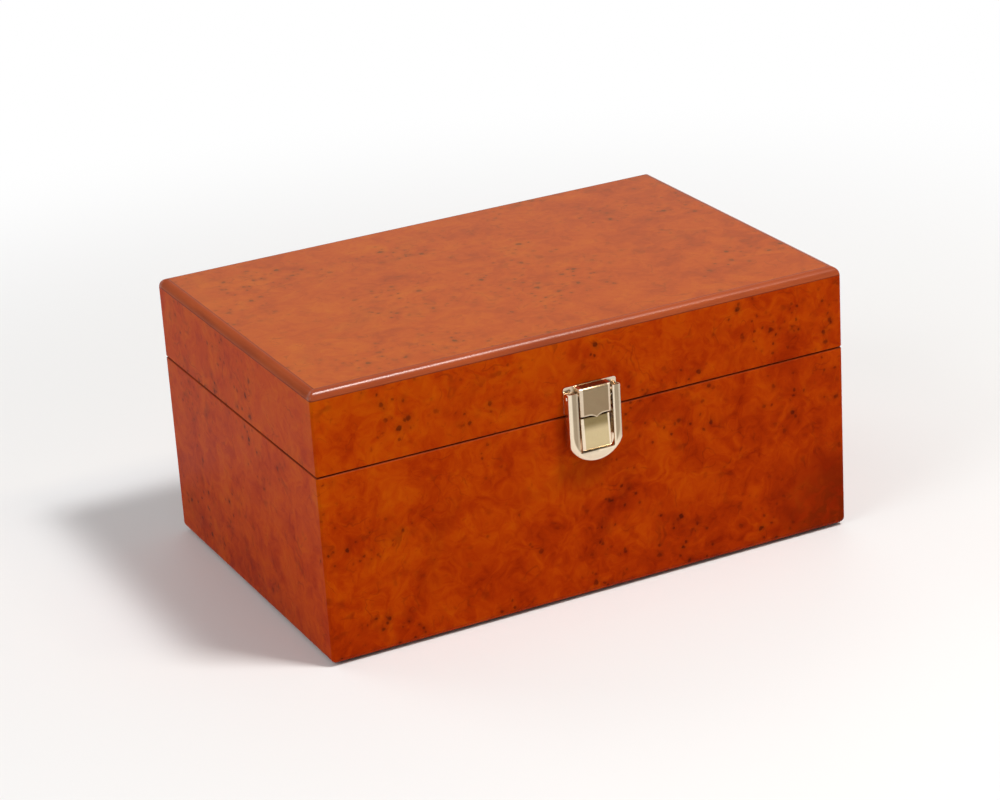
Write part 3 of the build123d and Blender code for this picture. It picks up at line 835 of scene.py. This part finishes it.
def wall_lining(name, low, high, slit):
    """A strip of baize round the four walls, turned softly in the corners."""
    strip = block(name, (-INSIDE_X / 2, INSIDE_X / 2), (-INSIDE_Y / 2, INSIDE_Y / 2), (low, high))
    drop_faces(strip, lambda c, n: abs(n.z) > 0.9)
    round_edges(strip, CORNER_TURN, 5, lambda c, d: abs(d.z) > 0.9)
    divide_edges(strip, 23, lambda c, d: abs(c.x) < 1 or abs(c.y) < 1)
    divide_edges(strip, 5, lambda c, d: abs(d.z) > 0.9)
    ripple(strip, 0.10, lambda p: low + 1 < p.z < high - 1)
    if slit:
        for x in (-COVER_HALF, COVER_HALF):
            slice_at(strip, (x, 0, 0), (1, 0, 0))
        slice_at(strip, (0, 0, COVER_TOP), (0, 0, 1))
        drop_faces(strip, lambda c, n: abs(c.x) < COVER_HALF and c.z < COVER_TOP)
    # Clear of the wall, also where it ripples
    for vertex in strip.data.vertices:
        vertex.co -= vertex.normal * MM * 0.12
    return thicken(strip, LINING - 0.2)


def flat_lining(name, x, y, z, facing):
    """A sheet of baize glued down flat, its face up (1) or down (-1) at this height."""
    bpy.ops.object.select_all(action="DESELECT")
    middle = (MM * sum(x) / 2, MM * sum(y) / 2, MM * z)
    bpy.ops.mesh.primitive_grid_add(x_subdivisions=24, y_subdivisions=24, size=1, location=middle)
    bpy.context.object.scale = (MM * abs(x[1] - x[0]), MM * abs(y[1] - y[0]), 1)
    if facing < 0:
        bpy.context.object.rotation_euler = (pi, 0, 0)
    sheet = settle(name)
    ripple(sheet, 0.08, lambda p: x[0] + 2 < p.x < x[1] - 2 and y[0] + 2 < p.y < y[1] - 2)
    return thicken(sheet, LINING - 0.2)


def divider_baize():
    """Baize folded over the top of the divider, down to the floor on both sides."""
    end = INSIDE_Y / 2 - 0.05
    cover = block("divider_baize", (-COVER_HALF, COVER_HALF), (-end, end), (FLOOR, COVER_TOP))
    drop_faces(cover, lambda c, n: abs(n.y) > 0.9 or n.z < -0.9)
    round_edges(cover, 1.6, 5, lambda c, d: c.z > COVER_TOP - 0.1 and abs(d.y) > 0.9)
    divide_edges(cover, 31, lambda c, d: abs(d.y) > 0.9)
    divide_edges(cover, 9, lambda c, d: abs(d.z) > 0.9)
    ripple(cover, 0.05, lambda p: p.z > FLOOR + 2)
    return thicken(cover, COVER_THICK - 0.1, 0.2)


def underfelt():
    """The felt glued under the box, its corners cut round."""
    half_x, half_y = WIDTH / 2 - FELT_INSET, DEPTH / 2 - FELT_INSET
    sheet = block("underside_felt_cut", (-half_x, half_x), (-half_y, half_y), (0, FELT))
    round_edges(sheet, FELT_R, 8, lambda c, d: abs(d.z) > 0.9)
    round_edges(sheet, 0.2, 2, lambda c, d: abs(d.z) < 0.1)
    bpy.ops.object.shade_smooth_by_angle(angle=radians(50.0))
    return sheet


BAIZE = cloth("baize_green", (0.045, 0.190, 0.075), (0.012, 0.070, 0.026), 0.00012)
GREEN_FELT = cloth("felt_green", (0.040, 0.165, 0.070), (0.010, 0.060, 0.024), 0.00016)
dress(plywood(), "base_bottom", "divider_board")

half_x, half_y = INSIDE_X / 2 - LINING, INSIDE_Y / 2 - LINING

strip = wall_lining("base_wall_baize", FLOOR, BASE_EDGE, True)
stands_for(strip, "base", BAIZE, "baize", "base_wall_lining")
strip = wall_lining("lid_wall_baize", LID_EDGE, CEILING, False)
stands_for(strip, "lid", BAIZE, "baize", "lid_wall_lining")
for side, x in (("left", (-half_x, -COVER_HALF)), ("right", (COVER_HALF, half_x))):
    sheet = flat_lining(f"floor_baize_{side}", x, (-half_y, half_y), FLOOR + LINING - 0.1, 1)
    stands_for(sheet, "base", BAIZE, "baize", f"floor_lining_{side}")
sheet = flat_lining("lid_top_baize", (-half_x, half_x), (-half_y, half_y), CEILING - LINING + 0.1, -1)
stands_for(sheet, "lid", BAIZE, "baize", "lid_top_lining")
sheet = divider_baize()
stands_for(sheet, "base", BAIZE, "baize", "divider_cover")
sheet = underfelt()
stands_for(sheet, "base", GREEN_FELT, "felt", "underside_felt")


# Floor, light and camera, placed in metres


def floor_finish():
    """Pale floor with soft shadows, which far from the box is the white of the background."""
    f = Finish("floor")
    tone = f.noise(1.2, 2.0)
    f.done(Base_Color=f.ramp(tone, (0.3, (0.79, 0.79, 0.79)), (0.7, (0.82, 0.82, 0.82))), Roughness=0.7)
    far = f.math("SUBTRACT", 1.0, f.near((0.0, 0.0, 0.0), 1.2))
    white = f.nodes.new("ShaderNodeEmission")
    mix = f.nodes.new("ShaderNodeMixShader")
    f.put(mix.inputs[0], f.times(f.step(far, 0.06, 0.55), seen_straight(f.material.node_tree)))
    f.put(mix.inputs[1], f.shader.outputs[0])
    f.put(mix.inputs[2], white.outputs[0])
    f.put(f.nodes["Material Output"].inputs["Surface"], mix.outputs[0])
    return f.material


bpy.ops.object.select_all(action="DESELECT")
bpy.ops.mesh.primitive_circle_add(vertices=96, radius=6.0, fill_type="NGON", location=(0, 0, 0))
floor = bpy.context.object
floor.name = "floor"
floor.data.materials.append(floor_finish())

WORLD_LIGHT = 0.28  # how strongly the world lights the box; it is seen, also in metal, as plain white

world = bpy.data.worlds.new("studio")
bpy.context.scene.world = world
world.use_nodes = True
sky = world.node_tree
background = sky.nodes["Background"]
background.inputs["Color"].default_value = (1.0, 1.0, 1.0, 1.0)
strength = sky.nodes.new("ShaderNodeMapRange")
strength.inputs["To Min"].default_value = WORLD_LIGHT
sky.links.new(seen_straight(sky), strength.inputs["Value"])
sky.links.new(strength.outputs[0], background.inputs["Strength"])

MIDDLE = (0.0, 0.0, 0.05)  # of the box


def softbox(name, place, size, watts, aim=MIDDLE):
    """A square white lamp of this size at a place, turned to the aim."""
    lamp = bpy.data.lights.new(name, "AREA")
    lamp.size, lamp.energy = size, watts
    obj = bpy.data.objects.new(name, lamp)
    obj.location = place
    obj.rotation_euler = (Vector(aim) - Vector(place)).to_track_quat("-Z", "Y").to_euler()
    bpy.context.scene.collection.objects.link(obj)
    return lamp


softbox("key", (0.52, -0.66, 1.75), 0.36, 24.0)
softbox("side", (-1.9, -0.5, 1.2), 1.2, 14.0)
softbox("back", (0.9, 2.0, 1.2), 1.5, 3.2)
softbox("back_left", (-1.2, 1.7, 1.6), 1.2, 7.0)
# A warm strip above the front, which shows as a bright line along the lid's front edge
strip_light = softbox("strip", (0.70, -0.905, 1.545), 0.60, 6.0, aim=(0.70, -0.08, 0.115))
strip_light.shape, strip_light.size_y = "RECTANGLE", 0.20
strip_light.color = (1.0, 0.84, 0.66)

CAMERA_PLACE = (-0.521, -1.078, 0.543)
CAMERA_AIM = (-0.001, 0.0, 0.0595)
CAMERA_LENS = 109.2
CAMERA_ROLL = radians(3.64)

camera = bpy.data.objects.new("camera", bpy.data.cameras.new("camera"))
camera.data.lens = CAMERA_LENS
camera.data.sensor_width = 36.0
camera.location = CAMERA_PLACE
look = (Vector(CAMERA_AIM) - Vector(CAMERA_PLACE)).to_track_quat("-Z", "Y").to_matrix()
camera.rotation_euler = (look @ Matrix.Rotation(-CAMERA_ROLL, 3, "Z")).to_euler()
bpy.context.scene.collection.objects.link(camera)
bpy.context.scene.camera = camera
bpy.context.scene.view_settings.view_transform = "Standard"
